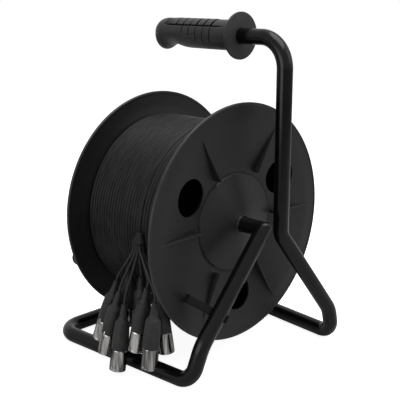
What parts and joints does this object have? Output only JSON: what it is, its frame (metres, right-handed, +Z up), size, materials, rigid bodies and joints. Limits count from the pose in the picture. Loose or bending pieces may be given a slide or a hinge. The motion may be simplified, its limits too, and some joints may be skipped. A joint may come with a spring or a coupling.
{
  "type": "audio cable reel",
  "caption": "Portable cable reel: bent steel tube stand with a grip, a plastic drum that turns on the tube, wound audio cable and plugs on short whips.",
  "frame": {"origin": "on the floor, under the middle of the stand and drum together, without the whips and plugs", "axes": "+X along the drum's axle towards the legs and post, -Y the front where the plugs hang, +Z up"},
  "size_m": [0.2962, 0.3203, 0.4442],
  "materials": {
    "black_lacquer": "gloss black powder coat on steel tube",
    "grip_rubber": "matte black soft moulding",
    "drum_plastic": "satin black moulded plastic",
    "bush_nylon": "black nylon",
    "zinc_steel": "bright zinc plate",
    "cable_jacket": "satin black cable jacket",
    "boot_rubber": "matte black moulded boot",
    "nickel_shell": "satin nickel plate",
    "insert_plastic": "black moulded insert"
  },
  "bodies": {
    "stand": {"frame_tube": "black_lacquer", "grip": "grip_rubber", "axle_washer": "zinc_steel", "axle_retaining_ring": "zinc_steel", "axle_stop_collar": "zinc_steel", "axle_cap": "drum_plastic", "cable_breakout": "boot_rubber", "whip_1": "cable_jacket", "plug_boot_1": "boot_rubber", "plug_shell_1": "nickel_shell", "plug_insert_1": "insert_plastic", "whip_2": "cable_jacket", "plug_boot_2": "boot_rubber", "plug_shell_2": "nickel_shell", "plug_insert_2": "insert_plastic", "whip_3": "cable_jacket", "plug_boot_3": "boot_rubber", "plug_shell_3": "nickel_shell", "plug_insert_3": "insert_plastic", "whip_4": "cable_jacket", "plug_boot_4": "boot_rubber", "plug_shell_4": "nickel_shell", "plug_insert_4": "insert_plastic", "whip_5": "cable_jacket", "plug_boot_5": "boot_rubber", "plug_shell_5": "nickel_shell", "plug_insert_5": "insert_plastic", "whip_6": "cable_jacket", "plug_boot_6": "boot_rubber", "plug_shell_6": "nickel_shell", "plug_insert_6": "insert_plastic", "whip_7": "cable_jacket", "plug_boot_7": "boot_rubber", "plug_shell_7": "nickel_shell", "plug_insert_7": "insert_plastic", "whip_8": "cable_jacket", "plug_boot_8": "boot_rubber", "plug_shell_8": "nickel_shell", "plug_insert_8": "insert_plastic"},
    "drum": {"near_flange": "drum_plastic", "far_flange": "drum_plastic", "drum_barrel": "drum_plastic", "near_hub_bush": "bush_nylon", "far_hub_bush": "bush_nylon", "cable_core": "cable_jacket", "cable_winding": "cable_jacket", "cable_sleeve": "cable_jacket", "knob_spindle": "zinc_steel"},
    "winding_knob": {"knob": "drum_plastic", "knob_cap": "drum_plastic"},
    "brake": {"brake_lever": "drum_plastic", "brake_pad": "grip_rubber"}
  },
  "joints": [
    {"name": "drum_spin", "type": "hinge", "parent": "stand", "child": "drum", "pos_m": [0, 0, 0.182], "axis": [1, 0, 0], "continuous": true},
    {"name": "knob_spin", "type": "hinge", "parent": "drum", "child": "winding_knob", "pos_m": [-0.11, -0.09951, 0.1097], "axis": [1, 0, 0], "continuous": true},
    {"name": "brake_swing", "type": "hinge", "parent": "stand", "child": "brake", "pos_m": [0.11048, -0.07491, 0.088], "axis": [0.0366, 0.6228, 0.7815], "range_deg": [0, 75]}
  ]
}
